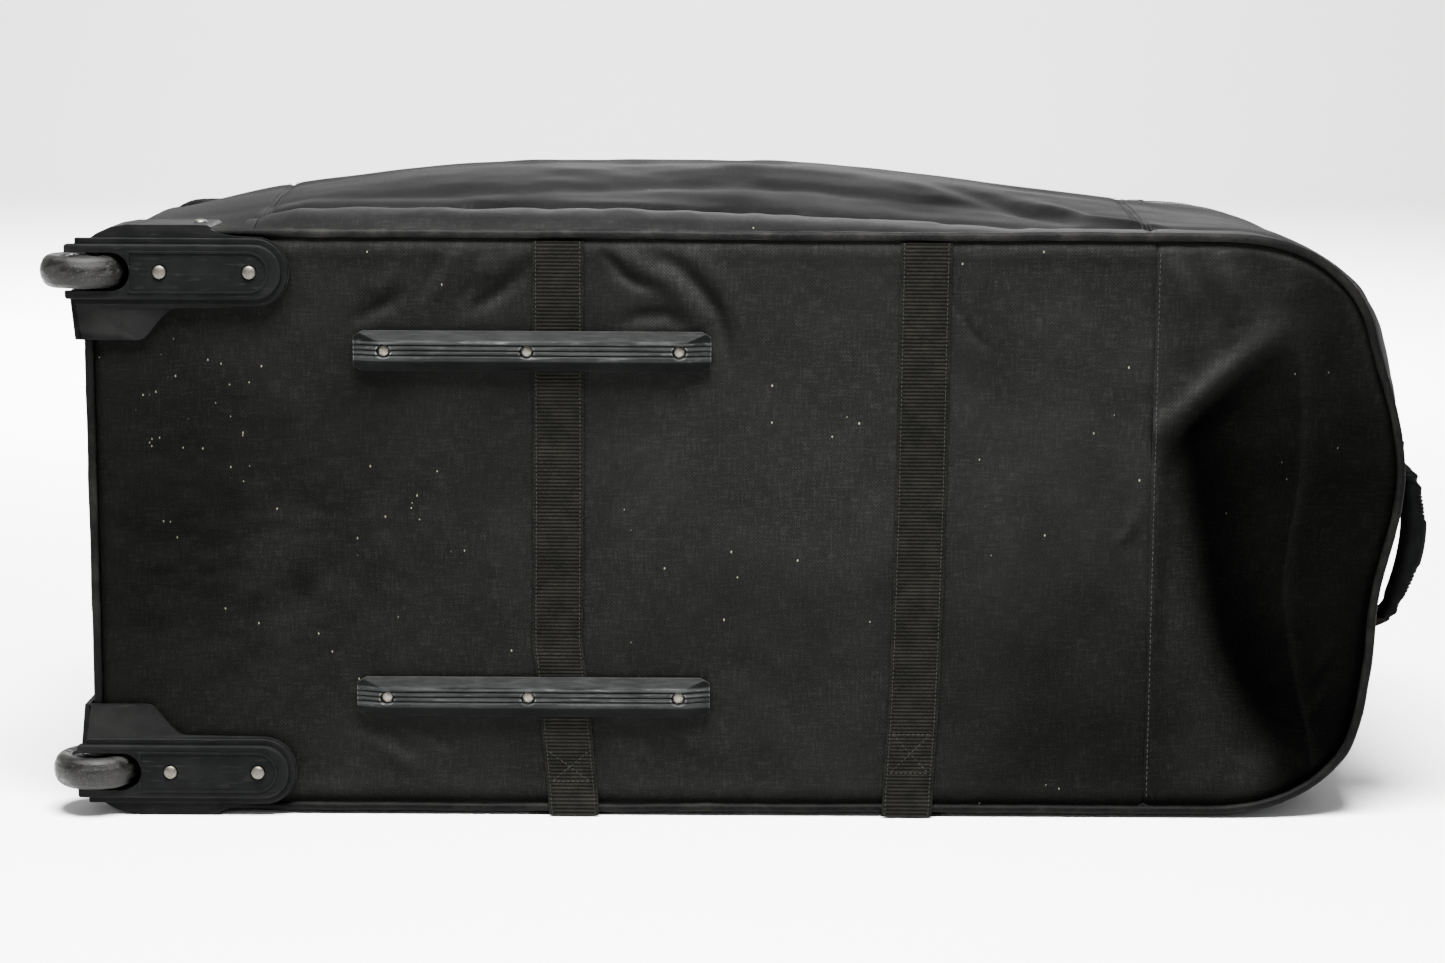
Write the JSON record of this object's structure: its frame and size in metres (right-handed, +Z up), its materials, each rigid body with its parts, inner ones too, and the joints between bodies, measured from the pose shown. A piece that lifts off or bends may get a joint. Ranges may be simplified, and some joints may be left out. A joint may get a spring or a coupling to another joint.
{
  "type": "wheeled gear bag",
  "caption": "Long wheeled bag lying on its side: corner wheels in moulded housings, skid rails, webbing straps, piped seams, a zipped lid and a rubber grab handle.",
  "frame": {"origin": "on the floor under the middle of the bag's box, with the bag lying on its long lower side", "axes": "+X runs along the bag from the wheels to the grab handle, +Z is up across its width, and the wheeled underside faces -Y"},
  "size_m": [1.0445, 0.3638, 0.4779],
  "materials": {
    "nylon": "woven black ballistic nylon over thin foam, coated inside",
    "webbing": "ribbed black webbing",
    "piping": "fabric-covered cord piping, worn grey on its crown",
    "zip_tape": "coil zip on woven tape",
    "board": "stiffening board",
    "moulding": "injection-moulded black plastic, scuffed along its edges",
    "tread": "worn polyurethane tyre, dusty grey-black",
    "hub": "moulded hub",
    "steel": "plain steel",
    "rivet": "dull nickel-plated domed rivet",
    "grip": "moulded black rubber",
    "sleeve": "padded nylon sleeve"
  },
  "bodies": {
    "bag": {"base_panel": "nylon", "nose_panel": "nylon", "base_board": "board", "wheel_end_wall": "nylon", "upper_side_wall": "nylon", "lower_side_wall": "nylon", "nose_wall": "nylon", "lid_heel_panel": "nylon", "zip_tape_body": "zip_tape", "piping_base": "piping", "piping_wheel_end": "piping", "piping_lid_heel": "piping", "strap_rear": "webbing", "strap_front": "webbing", "skid_rail_upper": "moulding", "skid_rail_lower": "moulding", "wheel_housing_upper": "moulding", "wheel_housing_lower": "moulding", "axle_upper": "steel", "axle_lower": "steel", "grab_handle_anchor_upper": "webbing", "grab_handle_anchor_lower": "webbing", "side_rivet_upper": "rivet", "side_rivet_lower": "rivet", "rail_rivet_upper_1": "rivet", "rail_rivet_upper_2": "rivet", "rail_rivet_upper_3": "rivet", "rail_rivet_lower_1": "rivet", "rail_rivet_lower_2": "rivet", "rail_rivet_lower_3": "rivet", "housing_rivet_upper_1": "rivet", "housing_rivet_upper_2": "rivet", "housing_rivet_lower_1": "rivet", "housing_rivet_lower_2": "rivet"},
    "wheel_upper": {"tyre_upper": "tread", "hub_upper": "hub", "bearing_upper_inner": "steel", "bearing_upper_outer": "steel"},
    "wheel_lower": {"tyre_lower": "tread", "hub_lower": "hub", "bearing_lower_inner": "steel", "bearing_lower_outer": "steel"},
    "lid": {"lid_panel": "nylon", "lid_gusset": "nylon", "piping_lid": "piping", "zip_tape_lid": "zip_tape"},
    "zip_slider_upper": {"zip_slider_upper": "steel"},
    "pull_tab_upper": {"pull_tab_upper": "grip"},
    "zip_slider_lower": {"zip_slider_lower": "steel"},
    "pull_tab_lower": {"pull_tab_lower": "grip"},
    "carry_handle": {"carry_handle_leg_rear": "webbing", "carry_handle_leg_front": "webbing", "carry_handle_grip": "sleeve"},
    "grab_handle": {"grab_handle_grip": "grip"}
  },
  "joints": [
    {"name": "wheel_upper_spin", "type": "hinge", "parent": "bag", "child": "wheel_upper", "pos_m": [-0.4855, -0.151, 0.4125], "axis": [0, 0, 1], "continuous": true},
    {"name": "wheel_lower_spin", "type": "hinge", "parent": "bag", "child": "wheel_lower", "pos_m": [-0.4855, -0.151, 0.0345], "axis": [0, 0, 1], "continuous": true},
    {"name": "lid_open", "type": "hinge", "parent": "bag", "child": "lid", "pos_m": [-0.3599, 0.1806, 0.2235], "axis": [0, 0, 1], "range_deg": [0, 110]},
    {"name": "zip_slide_upper", "type": "slide", "parent": "bag", "child": "zip_slider_upper", "axis": [1, 0, 0], "range_m": [-0.65, 0]},
    {"name": "zip_slide_lower", "type": "slide", "parent": "bag", "child": "zip_slider_lower", "axis": [1, 0, 0], "range_m": [-0.65, 0]},
    {"name": "pull_lift_upper", "type": "hinge", "parent": "zip_slider_upper", "child": "pull_tab_upper", "pos_m": [0.3218, 0.13285, 0.4491], "axis": [0, 1, 0], "range_deg": [0, 90]},
    {"name": "pull_lift_lower", "type": "hinge", "parent": "zip_slider_lower", "child": "pull_tab_lower", "pos_m": [0.3218, 0.13285, 0.0049], "axis": [0, -1, 0], "range_deg": [0, 90]},
    {"name": "carry_handle_fold", "type": "hinge", "parent": "bag", "child": "carry_handle", "pos_m": [0, -0.1596, 0.00105], "axis": [-1, 0, 0], "range_deg": [0, 100]},
    {"name": "grab_handle_lean", "type": "hinge", "parent": "bag", "child": "grab_handle", "pos_m": [0.508, -0.123, 0.2075], "axis": [0, 0, 1], "range_deg": [-15, 15]}
  ]
}
